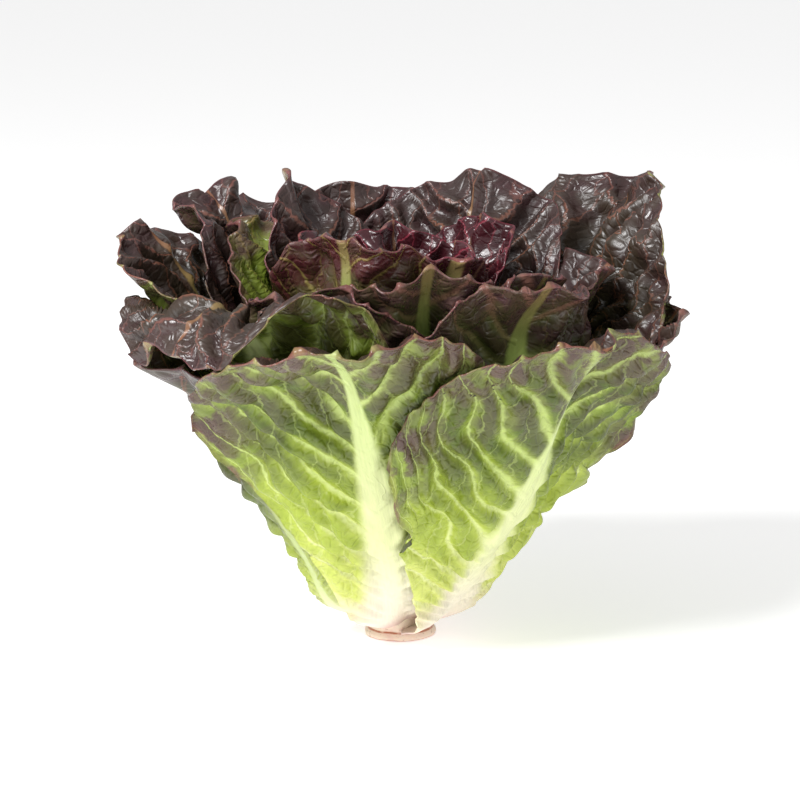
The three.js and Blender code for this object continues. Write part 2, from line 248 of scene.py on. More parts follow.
def neighbours(v):
    up, down = np.concatenate([v[:1], v[:-1]]), np.concatenate([v[1:], v[-1:]])
    left, right = np.concatenate([v[:, :1], v[:, :-1]], 1), np.concatenate([v[:, 1:], v[:, -1:]], 1)
    return np.stack([v, up, down, left, right])


def spread_push(v, widest, mean):
    for _ in range(widest):
        v = neighbours(v).max(0)
    for _ in range(mean):
        v = neighbours(v).mean(0)
    return v


def finer(values, rows, columns):
    """Samples a grid at fractional rows and columns, smoothly (Catmull-Rom)."""
    def weights(at, n):
        k = np.clip(np.floor(at).astype(int), 0, n - 2)
        t = at - k
        w = np.zeros((len(at), n))
        parts = [(-1, -0.5 * t + t * t - 0.5 * t ** 3), (0, 1 - 2.5 * t * t + 1.5 * t ** 3),
                 (1, 0.5 * t + 2 * t * t - 1.5 * t ** 3), (2, -0.5 * t * t + 0.5 * t ** 3)]
        for shift, part in parts:
            np.add.at(w, (np.arange(len(at)), np.clip(k + shift, 0, n - 1)), part)
        return w
    return weights(rows, values.shape[0]) @ values @ weights(columns, values.shape[1]).T


def finer_places(place, rows, columns):
    return np.stack([finer(place[..., k], rows, columns) for k in range(3)], -1)


def back_height(leaf, u, w):
    size = leaf["width"] / 120
    x = np.abs(np.sin(w * math.pi / 2) * half_width(leaf, u))
    half = lerp(RIB_HALF_WIDTH * math.sqrt(size), 1.4, ease(u, 0, 0.9))
    ridge = np.maximum(0, 1 - (x / half) ** 2)
    return BLADE / 2 + lerp(RIB_HEIGHT * size, 0.2, ease(u, 0, 0.85)) * ridge


# %% Lay the leaves coarsely, as the solids lie
MORE = 4  # samples of a leaf's back to a step of the layout
coarse = FanMap(120, 44.0, 3.0, 78, 0.9, 8)
stem_in(coarse)
u_coarse = np.arange(ROWS + 1)[:, None] / ROWS
w_coarse = 2 * np.arange(COLUMNS + 1)[None, :] / COLUMNS - 1
at = np.arange(ROWS * MORE) / MORE


def sampled(v):
    step, share = np.floor(at).astype(int), at - np.floor(at)
    v = v[step] * (1 - share)[:, None] + v[step + 1] * share[:, None]
    return v[:, step] * (1 - share) + v[:, step + 1] * share


for leaf in reversed(leaves):
    angle, az, far = to_fan(surface(leaf, u_coarse, w_coarse))
    push = np.maximum(0, coarse.filled(az, far) + (CLEARANCE + BLADE / 2) / far - angle)
    leaf["push"] = spread_push(push, 2, 2)
    back = back_height(leaf, at[:, None] / ROWS, 2 * at[None, :] / COLUMNS - 1) / sampled(far)
    back_az = np.arctan2(sampled(np.sin(az)), sampled(np.cos(az)))
    coarse.add(sampled(angle + leaf["push"]) + back, back_az, sampled(far))
print("most pushed", round(max(float(leaf["push"].max()) for leaf in leaves), 3), "rad")

# %% [markdown]
# ## Veins and blisters
# Side veins leave the midrib at even steps and sweep up towards the margin. Between them run short
# cross veins, and the blade swells between the veins into blisters, hollow seen from the back. Two
# numbers follow every point: how many side veins lie below it, and how far out along them it is.
# Whole numbers are veins, so both the mesh and the material can draw them sharply.

# %% Vein numbers and the swelling between them
GOLDEN = 0.618034
SIDE_VEINS = 19  # as many as a leaf would have if they kept the spacing of its foot
VEIN_REACH = 11.0  # mm between cross veins
MIDRIB_FREE = (2.5, 10.0)  # mm from the midrib over which the blisters begin


def off_vein(v):
    """0 on a vein, 1 midway between two."""
    return 2 * np.abs(v - np.round(v))


def vein_numbers(leaf, u, w, left):
    half = half_width(leaf, u)
    x = np.abs(np.sin(w * math.pi / 2) * half)
    drop = CROWN * leaf["width"] * u ** 2.2 * (1 - np.cos(w * math.pi / 2))
    s = u * leaf["length"] - drop
    seed = int(leaf["phase"] * 100) + (500 if left else 0)
    wander = waves_of(seed, 4, 25, 50)
    crinkle = waves_of(seed + 7, 5, 14, 30)
    rise = x * (0.45 + 0.5 * u) + 0.003 * x * x
    t = (s - rise) / leaf["length"]
    even = SIDE_VEINS * t / (1 + 0.5 * t)
    number = even + 0.2 * wander(s, 0 * x) + (0.03 + 0.16 * ease(x, 8, 45)) * crinkle(x, s)
    out = x / VEIN_REACH + 0.2 * crinkle(s, x)
    return number + (40.5 if left else 0.0), out, x, s


def swelling(u, number, out, x):
    crossing = out + np.floor(number) * GOLDEN * 3
    pillow = np.sin(math.pi / 2 * off_vein(number)) * (0.4 + 0.6 * np.sin(math.pi / 2 * off_vein(crossing)))
    return pillow * ease(x, *MIDRIB_FREE) * ease(u, 0.05, 0.3)


# %% [markdown]
# ## From the layout to fine leaves
# Close up, a margin is wavy, a few leaves end in a point, and the front right one is torn. The blade
# is blistered and crumpled, with small wrinkles where it meets the midrib, and its back stands out in
# veins. Sculpting would take days over twenty-six leaves, so each of these is a short formula in
# millimetres, and a finer map of the fan then keeps the blisters of neighbours from crossing.

# %% The margin: waves, points and torn lobes
WAVY_HEART, WAVY_MARGIN, WAVY_TIP = 0.022, 0.014, 0.22  # two shares of the width, and rows
POINTS = {"middle_leaf_10": 1.7, "outer_leaf_03": 0.8, "outer_leaf_08": 0.7}  # length, in rows
TORN_LEAF = "outer_leaf_01"
TORN_LOBES = [(0.30, 0.53, 0.045), (-0.24, 0.44, 0.03), (0.16, 0.36, 0.035)]  # depth, place, length


def is_heart(leaf):
    return leaf["name"].startswith("heart")


def margin_shape(leaf, u, w, t):
    """How many times wider than the layout a leaf is, and how many rows further it reaches."""
    scallop = waves_of(int(leaf["phase"] * 1000) + 1, 4, 0.12, 0.3)
    wavy = WAVY_HEART if is_heart(leaf) else WAVY_MARGIN
    wider = 1 + wavy * scallop(u, 0.2 * np.sign(t)) * ease(np.abs(w), 0.3, 1) * ease(u, 0.12, 0.4)
    if leaf["name"] == TORN_LEAF:
        lobes = sum(depth * np.exp(-((u - place) / long) ** 2) for depth, place, long in TORN_LOBES)
        wider = wider + lobes * np.where(w < 0, ease(-w, 0.35, 1), -0.3 * ease(w, 0.35, 1))
    further = WAVY_TIP * scallop(w * 0.9, 3.0 + 0 * u) * u ** 3
    point = np.clip(1 - np.abs(w) / 0.6, 0, 1) ** 2.2 * u ** 6
    return wider, further + POINTS.get(leaf["name"], 0.0) * point


# %% The relief of a blade, and its thickness
BLISTER_OUTER, BLISTER_INNER = 5.0, 4.2  # mm between a vein and the top of a blister
CRUMPLE, FRILL, WRINKLE = 0.55, 0.8, 1.1
FINE_BLADE, FINE_TIP_RIB, VEIN_HEIGHT = 0.6, 0.6, 3.0


def relief(leaf, u, x, s, signed, edge, number, out):
    """How far the blade stands out of its smooth surface, in mm."""
    seed = int(leaf["phase"] * 1000)
    crumple = waves_of(seed + 2, 6, 8, 22)
    frill = waves_of(seed + 3, 5, 14, 32)
    depth = BLISTER_OUTER if leaf["name"].startswith("outer") else BLISTER_INNER
    middle = 0.55 * ease(x, *MIDRIB_FREE) * ease(u, 0.05, 0.3)
    blister = depth * (swelling(u, number, out, x) - middle)
    blister = blister * (0.35 + 0.65 * ease(edge, 0, 14))
    wrinkle = ease(x, 2, 7) * (1 - ease(x, 14, 26)) * ease(u, 0.06, 0.14) * (1 - ease(u, 0.3, 0.5))
    lift = -blister + CRUMPLE * crumple(signed, s) * ease(x, 4, 20) * ease(u, 0.15, 0.5)
    lift = lift + FRILL * frill(signed, s) * (1 - ease(edge, 0, 13)) * ease(u, 0.15, 0.5)
    return lift + WRINKLE * wrinkle * np.sin(2 * math.pi * 2.0 * number)


def thickness(leaf, u, x, number):
    """The thickness of the leaf, in mm, and the distance from the midrib in its half-widths."""
    size = leaf["width"] / 120
    rib = x / lerp(RIB_HALF_WIDTH * math.sqrt(size), 1.6, ease(u, 0, 0.95))
    ridge = np.maximum(0, 1 - rib ** 2) * lerp(RIB_HEIGHT * size, FINE_TIP_RIB, ease(u, 0, 0.85))
    ridge = ridge * lerp(0.3, 1.0, ease(u, 0, 0.1))
    vein_half = lerp(0.16, 0.07, ease(x, 0, 40))
    vein = np.exp(-(off_vein(number) / 2 / vein_half) ** 2) * (1 - ease(x, 5, 55)) * ease(u, 0.1, 0.3)
    return FINE_BLADE + ridge + (VEIN_HEIGHT * vein * size) * (1 - np.clip(ridge / 2, 0, 1)), rib


# %% Fine positions of every leaf
FINE_GRID, HEART_GRID = (124, 108), (88, 72)
FINE_GAP = 0.25  # mm between a leaf and the blisters of the one inside it
FOOT_ROWS = 4  # rows added below the foot, where it grows out of the stem
fine = FanMap(480, 44.0, 1.2, 165, 1.6, 5)
stem_in(fine)


def outward(place):
    """Unit normals of a leaf's grid, out of the head."""
    normal = np.cross(np.gradient(place, axis=1), np.gradient(place, axis=0))
    return normal / np.linalg.norm(normal, axis=-1, keepdims=True)


def kept_apart(place, thick, rows, columns):
    """Pushes a leaf clear of those inside it, and adds its back to the map."""
    angle, az, far = to_fan(place)
    push = np.maximum(0, fine.filled(az, far) + FINE_GAP / far - angle)
    place = from_fan(angle + spread_push(push, 1, 2), az, far)
    along, over = np.linspace(0, rows, 2 * rows + 1), np.linspace(0, columns, 2 * columns + 1)
    angle, az, far = to_fan(finer_places(place, along, over))
    fine.add(angle + finer(thick, along, over) / far, az, far)
    return place


def with_foot(place, u):
    """Lifts the foot a little off the cut and lets it run into the stem."""
    near_foot = (1 - ease(u, 0, 0.13))[..., None]
    place = place * (1 - 0.14 * near_foot) + np.array([0, 0, 2.2]) * near_foot
    foot = place[:1] * np.array([0.55, 0.55, 1.0]) - np.array([0, 0, 1.5])
    steps = np.linspace(0, 1, FOOT_ROWS + 1)[:-1, None, None]
    return np.concatenate([lerp(foot, place[:1], steps), place])


def place_leaf(leaf):
    rows, columns = HEART_GRID if is_heart(leaf) else FINE_GRID
    u = np.linspace(0, 1, rows + 1)[:, None]
    t = np.linspace(-1, 1, columns + 1)[None, :]
    across = 0.45 * np.sin(t * math.pi / 2) + 0.55 * t
    w = 2 / math.pi * np.arcsin(np.clip(across, -1, 1))
    angle, az, far = to_fan(surface(leaf, u, w, *margin_shape(leaf, u, w, t)))
    push = np.maximum(0, finer(leaf["push"], u[:, 0] * ROWS, (w[0] + 1) / 2 * COLUMNS))
    place = from_fan(angle + push, az, far)

    left, right = vein_numbers(leaf, u, w, True), vein_numbers(leaf, u, w, False)
    number, out, x, s = (np.where(w + 0 * u < 0, a, b) for a, b in zip(left, right))
    signed = np.where(w + 0 * u < 0, -x, x)
    edge = np.minimum((1 - np.abs(across)) * half_width(leaf, u), (1 - u) * leaf["length"] * 0.9)

    lift = relief(leaf, u, x, s, signed, edge, number, out)
    thick, rib = thickness(leaf, u, x, number)
    place = kept_apart(place + outward(place) * lift[..., None], thick, rows, columns)

    def footed(v):
        return np.concatenate([np.repeat(v[:1], FOOT_ROWS, 0), v + 0 * thick])

    return {
        "place": with_foot(place, u), "thick": footed(thick), "along": footed(u + 0 * w),
        "edge": footed(edge), "rib": footed(np.minimum(rib, 4)), "signed": footed(signed), "s": footed(s),
        "left": [footed(v) for v in left[:2]], "right": [footed(v) for v in right[:2]],
    }


laid = {leaf["name"]: place_leaf(leaf) for leaf in reversed(leaves)}
print("laid", len(laid), "leaves, the first with", laid["outer_leaf_01"]["place"].shape[:2], "points")

# %% [markdown]
# ## Nodes in few words
# A leaf's colour depends on where on the leaf a point is: how far along, how near a vein, how near
# the margin. Such a finish could be wired by hand in the shader editor, node by node. A short helper
# writes the same wires as sums, so each finish can be read from top to bottom.

# %% A helper for node trees
class Finish:
    def __init__(self, name):
        self.material = bpy.data.materials.new(name)
        self.material.use_nodes = True
        self.nodes = self.material.node_tree.nodes
        self.links = self.material.node_tree.links
        self.shader = self.nodes["Principled BSDF"]

    def put(self, socket, value):
        if isinstance(value, bpy.types.NodeSocket):
            self.links.new(value, socket)
        elif isinstance(value, tuple) and len(value) == 3 and socket.type == "RGBA":
            socket.default_value = (*value, 1)
        else:
            socket.default_value = value

    def node(self, kind, output=0, **inputs):
        node = self.nodes.new(kind)
        settings = {k: v for k, v in inputs.items() if k.islower() and hasattr(node, k)}
        for key, value in settings.items():
            setattr(node, key, value)
        for key, value in inputs.items():
            if key not in settings:
                self.put(node.inputs[key], value)
        return node.outputs[output]

    def math(self, operation, a, b=0.0, c=0.0):
        node = self.nodes.new("ShaderNodeMath")
        node.operation = operation
        for socket, value in zip(node.inputs, (a, b, c)):
            self.put(socket, value)
        return node.outputs[0]

    def step(self, value, low, high, to=(0.0, 1.0)):
        node = self.nodes.new("ShaderNodeMapRange")
        node.interpolation_type = "SMOOTHSTEP"
        for key, v in zip(("Value", "From Min", "From Max", "To Min", "To Max"), (value, low, high, *to)):
            self.put(node.inputs[key], v)
        return node.outputs[0]

    def mix(self, share, a, b, blend="MIX"):
        node = self.nodes.new("ShaderNodeMix")
        node.data_type, node.blend_type = "RGBA", blend
        self.put(node.inputs[0], share)
        self.put(node.inputs[6], a)
        self.put(node.inputs[7], b)
        return node.outputs[2]

    def ramp(self, value, stops):
        node = self.nodes.new("ShaderNodeValToRGB")
        node.color_ramp.interpolation = "EASE"
        for k, (at, colour) in enumerate(stops):
            element = node.color_ramp.elements[k] if k < 2 else node.color_ramp.elements.new(at)
            element.position, element.color = at, (*colour, 1)
        self.put(node.inputs[0], value)
        return node.outputs[0]

    def noise(self, vector, scale, detail=3.0, rough=0.55):
        inputs = {"Vector": vector, "Scale": scale, "Detail": detail, "Roughness": rough}
        return self.node("ShaderNodeTexNoise", **inputs)

    def field(self, name):
        node = self.nodes.new("ShaderNodeAttribute")
        node.attribute_name = name
        return node.outputs["Fac"]

    def uv(self, name):
        node = self.nodes.new("ShaderNodeUVMap")
        node.uv_map = name
        return node.outputs[0]

    def split(self, vector):
        node = self.nodes.new("ShaderNodeSeparateXYZ")
        self.put(node.inputs[0], vector)
        return node.outputs


# %% [markdown]
# ## Leaf finishes
# A leaf's back is pale and satin, with raised veins and hollow green pockets between; painted shade
# darkens those pockets near the midrib, on the back and on the face. Its face is glossy and blistered,
# green low down and dark red above, with thin veins. Both turn to a thin pink line at the margin.
# Painting twenty-six leaves would tie the colours to one shape, so one function makes every finish from
# a palette: colours from the foot to the tip, the painted shade of the pockets, and how strong each mark is.

# %% Leaf finishes
def leaf_finish(name, p):
    f = Finish(name)
    blade = f.uv("blade")
    along, edge, rib = f.field("along"), f.field("edge"), f.field("rib")
    number, out, _ = f.split(f.uv("veins"))
    blotch = f.noise(blade, 7.0, 4.0, 0.6)
    fine_noise = f.noise(blade, 45.0, 5.0, 0.65)
    shake = f.math("MULTIPLY_ADD", f.noise(blade, 22.0, 2.0), 0.24, -0.12)
    number = f.math("ADD", number, shake)

    off = f.math("PINGPONG", number, 0.5)
    width = f.step(out, 0.0, 4.0, (p["vein_width"], p["vein_width"] * 0.35))
    vein = f.step(off, f.math("MULTIPLY", width, 1.3), f.math("MULTIPLY", width, 0.15))
    strip = f.math("MULTIPLY", f.math("FLOOR", number), GOLDEN * 3)
    crossing = f.math("ADD", f.math("ADD", out, strip), f.math("MULTIPLY", shake, 2.0))
    cross_off = f.math("PINGPONG", crossing, 0.5)
    cross_vein = f.math("MULTIPLY", f.step(cross_off, 0.05, 0.012), p["cross_veins"])
    net = f.node("ShaderNodeTexVoronoi", Vector=blade, Scale=28.0, feature="DISTANCE_TO_EDGE")
    net_vein = f.math("MULTIPLY", f.step(net, 0.07, 0.01), p["net_veins"])
    veins = f.math("MAXIMUM", f.math("MAXIMUM", vein, cross_vein), net_vein)
    veins = f.math("MULTIPLY", veins, f.step(along, 0.05, 0.25))
    # Painted shade: a darker colour between the veins near the midrib, fading towards the margin, where the
    # hollows lie in shade
    pocket_shade = f.math("MULTIPLY", f.step(off, 0.04, 0.36), f.step(rib, 0.9, 1.8))
    pocket_shade = f.math("MULTIPLY", pocket_shade, f.step(edge, 2.0, 26.0, (0.5, 1.0)))

    shifted = f.math("ADD", along, f.math("MULTIPLY_ADD", blotch, 0.34, -0.17))
    colour = f.ramp(shifted, p["blade"])
    colour = f.mix(f.math("MULTIPLY", pocket_shade, p["pocket_shade_share"]), colour, f.ramp(shifted, p["pocket_shade"]))
    flush = f.math("MULTIPLY", f.step(blotch, *p["flush_noise"]), f.step(along, *p["flush_along"]))
    near_edge = f.step(edge, 24.0, 2.0, (0.4, 1.0))
    flush = f.math("MULTIPLY", f.math("MULTIPLY", flush, near_edge), p["flush_share"])
    colour = f.mix(flush, colour, p["flush"])
    colour = f.mix(f.math("MULTIPLY", veins, p["vein_share"]), colour, f.ramp(along, p["vein"]))
    rib_mask = f.step(f.math("ADD", rib, f.math("MULTIPLY_ADD", fine_noise, 0.3, -0.15)), *p["rib_width"])
    colour = f.mix(f.math("MULTIPLY", rib_mask, p["rib_share"]), colour, f.ramp(along, p["rib"]))
    line = f.step(f.math("ADD", edge, f.math("MULTIPLY_ADD", blotch, 0.8, -0.4)), 0.7, 0.1)
    uneven = f.math("MULTIPLY", f.step(along, 0.45, 0.75), f.step(blotch, 0.4, 0.6, (0.3, 1.0)))
    line = f.math("MULTIPLY", line, uneven)
    colour = f.mix(f.math("MULTIPLY", line, p["margin_share"]), colour, p["margin"])
    lengthwise = f.node("ShaderNodeMapping", Vector=blade, Scale=(9.0, 1.0, 1.0))
    fibres = f.noise(lengthwise, 14.0, 3.0)
    smooth_part = f.math("MAXIMUM", rib_mask, f.step(along, 0.16, 0.06))
    mottle = f.node("ShaderNodeMix", Factor=smooth_part, A=fine_noise, B=fibres)
    mottle = f.math("MULTIPLY_ADD", mottle, 0.5, 0.75)
    grey = f.node("ShaderNodeCombineColor", Red=mottle, Green=mottle, Blue=mottle)
    colour = f.mix(0.6, colour, grey, "MULTIPLY")
    f.put(f.shader.inputs["Base Color"], colour)

    rough = f.step(fine_noise, 0.3, 0.7, (p["rough"] - 0.07, p["rough"] + 0.1))
    rough = f.math("SUBTRACT", rough, f.math("MULTIPLY", flush, 0.12))
    f.put(f.shader.inputs["Roughness"], rough)
    f.shader.inputs["Specular IOR Level"].default_value = p["specular"]
    f.shader.inputs["Coat Weight"].default_value = p["coat"]
    f.shader.inputs["Coat Roughness"].default_value = 0.26
    f.shader.inputs["Subsurface Weight"].default_value = p["glow"]
    f.shader.inputs["Subsurface Radius"].default_value = (0.6, 1.0, 0.25)
    f.shader.inputs["Subsurface Scale"].default_value = 0.004

    height = f.math("ADD", f.math("MULTIPLY", f.noise(blade, 90.0, 3.0), 0.5), f.step(net, 0.0, 0.22))
    height = f.math("MULTIPLY", height, f.math("SUBTRACT", 1.0, smooth_part))
    height = f.math("ADD", height, f.math("MULTIPLY", fibres, f.math("MULTIPLY", smooth_part, 0.5)))
    height = f.math("ADD", height, f.math("MULTIPLY", veins, p["vein_bump"]))
    bump = f.node("ShaderNodeBump", Strength=p["bump"], Distance=0.0005, Height=height)
    f.put(f.shader.inputs["Normal"], bump)
    return f.material


# %% Palettes: a share of the length, and the colour there
# In each palette the pocket colours are painted shade, laid between the veins near the midrib
PALE_BACK = {
    "blade": [(0.0, (0.8, 0.62, 0.55)), (0.11, (0.76, 0.68, 0.46)), (0.23, (0.6, 0.64, 0.17)),
              (0.45, (0.43, 0.52, 0.065)), (0.75, (0.27, 0.36, 0.045)), (1.0, (0.22, 0.24, 0.06))],
    "pocket_shade": [(0.0, (0.78, 0.62, 0.52)), (0.22, (0.5, 0.57, 0.1)), (0.42, (0.27, 0.35, 0.022)),
               (0.7, (0.078, 0.118, 0.006)), (1.0, (0.065, 0.06, 0.018))],
    "pocket_shade_share": 1.0, "flush": (0.085, 0.04, 0.04), "flush_noise": (0.41, 0.52),
    "flush_along": (0.5, 0.82), "flush_share": 0.92,
    "vein": [(0.0, (0.78, 0.74, 0.52)), (0.3, (0.72, 0.76, 0.34)), (0.7, (0.56, 0.68, 0.2)),
             (1.0, (0.38, 0.46, 0.14))],
    "vein_share": 0.8, "vein_width": 0.14, "cross_veins": 0.35, "net_veins": 0.05,
    "rib": [(0.0, (0.8, 0.62, 0.57)), (0.14, (0.78, 0.71, 0.58)), (0.4, (0.7, 0.73, 0.38)),
            (0.75, (0.6, 0.7, 0.28)), (1.0, (0.42, 0.52, 0.18))],
    "rib_share": 0.95, "rib_width": (1.75, 0.85), "margin": (0.2, 0.07, 0.05), "margin_share": 0.8,
    "rough": 0.38, "specular": 0.5, "coat": 0.0, "glow": 0.02, "vein_bump": 1.0, "bump": 0.6,
}
# %% The dark faces, and the backs of the leaves behind the front ones
DARK_FACE = {
    "blade": [(0.0, (0.76, 0.62, 0.5)), (0.2, (0.3, 0.38, 0.06)), (0.45, (0.07, 0.1, 0.015)),
              (0.6, (0.034, 0.025, 0.013)), (0.8, (0.034, 0.02, 0.015)), (1.0, (0.05, 0.028, 0.024))],
    "pocket_shade": [(0.0, (0.7, 0.58, 0.44)), (0.25, (0.2, 0.28, 0.03)), (0.5, (0.05, 0.055, 0.012)),
               (0.65, (0.02, 0.012, 0.01)), (1.0, (0.03, 0.014, 0.015))],
    "pocket_shade_share": 0.7, "flush": (0.055, 0.022, 0.025), "flush_noise": (0.45, 0.62),
    "flush_along": (0.3, 0.7), "flush_share": 0.8,
    "vein": [(0.0, (0.7, 0.75, 0.35)), (0.35, (0.3, 0.38, 0.07)), (0.6, (0.28, 0.15, 0.05)),
             (0.8, (0.27, 0.105, 0.055)), (1.0, (0.21, 0.075, 0.06))],
    "vein_share": 0.65, "vein_width": 0.028, "cross_veins": 0.5, "net_veins": 0.0,
    "rib": [(0.0, (0.8, 0.76, 0.52)), (0.3, (0.45, 0.55, 0.16)), (0.7, (0.24, 0.21, 0.06)),
            (1.0, (0.26, 0.11, 0.06))],
    "rib_share": 0.8, "rib_width": (0.6, 0.25), "margin": (0.17, 0.05, 0.055), "margin_share": 0.7,
    "rough": 0.36, "specular": 0.55, "coat": 0.1, "glow": 0.0, "vein_bump": -1.0, "bump": 0.5,
}
MIDDLE_BACK = PALE_BACK | {
    "blade": [(0.0, (0.78, 0.62, 0.52)), (0.2, (0.36, 0.45, 0.08)), (0.5, (0.14, 0.2, 0.025)),
              (0.78, (0.1, 0.125, 0.028)), (1.0, (0.1, 0.062, 0.04))],
    "pocket_shade": [(0.0, (0.6, 0.6, 0.3)), (0.25, (0.22, 0.31, 0.04)), (0.5, (0.065, 0.1, 0.012)),
               (0.78, (0.06, 0.05, 0.02)), (1.0, (0.07, 0.036, 0.032))],
    "vein": [(0.0, (0.75, 0.78, 0.45)), (0.3, (0.42, 0.52, 0.12)), (0.7, (0.2, 0.24, 0.06)),
             (1.0, (0.26, 0.12, 0.09))],
    "rib": [(0.0, (0.8, 0.7, 0.58)), (0.3, (0.55, 0.66, 0.22)), (0.75, (0.32, 0.43, 0.1)),
            (1.0, (0.28, 0.2, 0.08))],
    "flush": (0.085, 0.042, 0.045), "flush_noise": (0.47, 0.58), "flush_along": (0.5, 0.9),
    "margin": (0.17, 0.055, 0.055), "vein_width": 0.13, "rough": 0.38, "glow": 0.05,
}
OLIVE_FACE = DARK_FACE | {
    "blade": [(0.0, (0.76, 0.62, 0.5)), (0.2, (0.3, 0.38, 0.06)), (0.45, (0.09, 0.12, 0.018)),
              (0.6, (0.046, 0.042, 0.016)), (0.8, (0.042, 0.029, 0.018)), (1.0, (0.052, 0.031, 0.024))],
    "pocket_shade": [(0.0, (0.7, 0.58, 0.44)), (0.25, (0.2, 0.28, 0.03)), (0.5, (0.05, 0.06, 0.012)),
               (0.65, (0.023, 0.019, 0.01)), (1.0, (0.032, 0.018, 0.015))],
    "flush": (0.048, 0.022, 0.023),
}
OLIVE_BACK = DARK_FACE | {
    "blade": [(0.0, (0.76, 0.66, 0.54)), (0.2, (0.42, 0.5, 0.08)), (0.45, (0.14, 0.18, 0.025)),
              (0.7, (0.065, 0.065, 0.02)), (1.0, (0.055, 0.035, 0.022))],
    "pocket_shade": [(0.0, (0.7, 0.6, 0.46)), (0.25, (0.34, 0.42, 0.05)), (0.5, (0.08, 0.11, 0.015)),
               (0.75, (0.035, 0.035, 0.012)), (1.0, (0.035, 0.02, 0.014))],
    "vein_bump": 0.8,
}
# %% The wine-red heart, and two leaves unlike the rest
HEART_FACE = DARK_FACE | {
    "blade": [(0.0, (0.74, 0.6, 0.46)), (0.3, (0.16, 0.14, 0.03)), (0.55, (0.07, 0.02, 0.015)),
              (0.8, (0.036, 0.006, 0.009)), (1.0, (0.055, 0.009, 0.014))],
    "pocket_shade": [(0.0, (0.4, 0.4, 0.12)), (0.35, (0.09, 0.05, 0.015)), (0.6, (0.02, 0.006, 0.006)),
               (1.0, (0.032, 0.006, 0.009))],
    "vein": [(0.0, (0.6, 0.62, 0.25)), (0.5, (0.26, 0.24, 0.05)), (0.8, (0.25, 0.06, 0.05)),
             (1.0, (0.32, 0.04, 0.07))],
    "flush": (0.045, 0.008, 0.012), "margin": (0.2, 0.025, 0.045), "rough": 0.27, "coat": 0.2,
}
HEART_BACK = MIDDLE_BACK | {
    "blade": [(0.0, (0.6, 0.58, 0.3)), (0.3, (0.25, 0.24, 0.05)), (0.6, (0.06, 0.032, 0.015)),
              (1.0, (0.07, 0.016, 0.02))],
    "pocket_shade": [(0.0, (0.5, 0.5, 0.2)), (0.4, (0.14, 0.12, 0.02)), (0.65, (0.035, 0.015, 0.01)),
               (1.0, (0.045, 0.011, 0.014))],
    "flush": (0.06, 0.013, 0.018), "margin": (0.2, 0.03, 0.05), "rough": 0.32,
}
BLUSH_BACK = MIDDLE_BACK | {
    "blade": [(0.0, (0.6, 0.58, 0.3)), (0.4, (0.2, 0.24, 0.04)), (0.75, (0.11, 0.095, 0.022)),
              (1.0, (0.09, 0.025, 0.026))],
    "vein": [(0.0, (0.7, 0.7, 0.35)), (0.5, (0.36, 0.42, 0.09)), (1.0, (0.28, 0.2, 0.06))],
    "flush": (0.085, 0.018, 0.022), "flush_noise": (0.44, 0.55), "vein_width": 0.08,
}
GREEN_FACE = DARK_FACE | {
    "blade": [(0.0, (0.76, 0.62, 0.5)), (0.3, (0.28, 0.36, 0.05)), (0.6, (0.2, 0.28, 0.03)),
              (0.9, (0.19, 0.24, 0.03)), (1.0, (0.1, 0.06, 0.03))],
    "pocket_shade": [(0.0, (0.7, 0.58, 0.44)), (0.3, (0.22, 0.3, 0.03)), (0.85, (0.15, 0.21, 0.02)),
               (1.0, (0.08, 0.05, 0.02))],
    "vein": [(0.0, (0.7, 0.75, 0.35)), (0.7, (0.32, 0.4, 0.07)), (1.0, (0.3, 0.2, 0.07))],
    "flush": (0.06, 0.03, 0.022), "flush_noise": (0.55, 0.66), "flush_along": (0.7, 0.95), "glow": 0.05,
}
# %% Make the finishes, in pairs
pairs = {  # a group of leaves, or one leaf: its finishes on the face and on the back
    "outer": ("outer leaf", OLIVE_FACE, PALE_BACK),
    "outer_leaf_04": ("right leaf", OLIVE_FACE, MIDDLE_BACK),
    "outer_leaf_03": ("side leaf", OLIVE_FACE, OLIVE_BACK),
    "middle": ("middle leaf", DARK_FACE, MIDDLE_BACK),
    "heart": ("heart leaf", HEART_FACE, HEART_BACK),
    "middle_leaf_08": ("green cup", GREEN_FACE, MIDDLE_BACK),
    "heart_leaf_01": ("blushed leaf", HEART_FACE, BLUSH_BACK),
}
finishes = {
    key: (leaf_finish(name + " face", face), leaf_finish(name + " back", back))
    for key, (name, face, back) in pairs.items()
}
print("finishes", len(finishes) * 2)

# %% [markdown]
# ## The leaves
# A real leaf is a thin sheet with a fleshy rib, so each one starts as a flat grid, its points are
# moved to their places, and Solidify gives it its thickness: a vertex group makes the ribs thick and
# the blade thin. Hand pulling would give the same sheet, but not twenty-six that fit together.

# %% Make the leaves
THICKEST = 0.007


def deselect():
    bpy.ops.object.select_all(action="DESELECT")


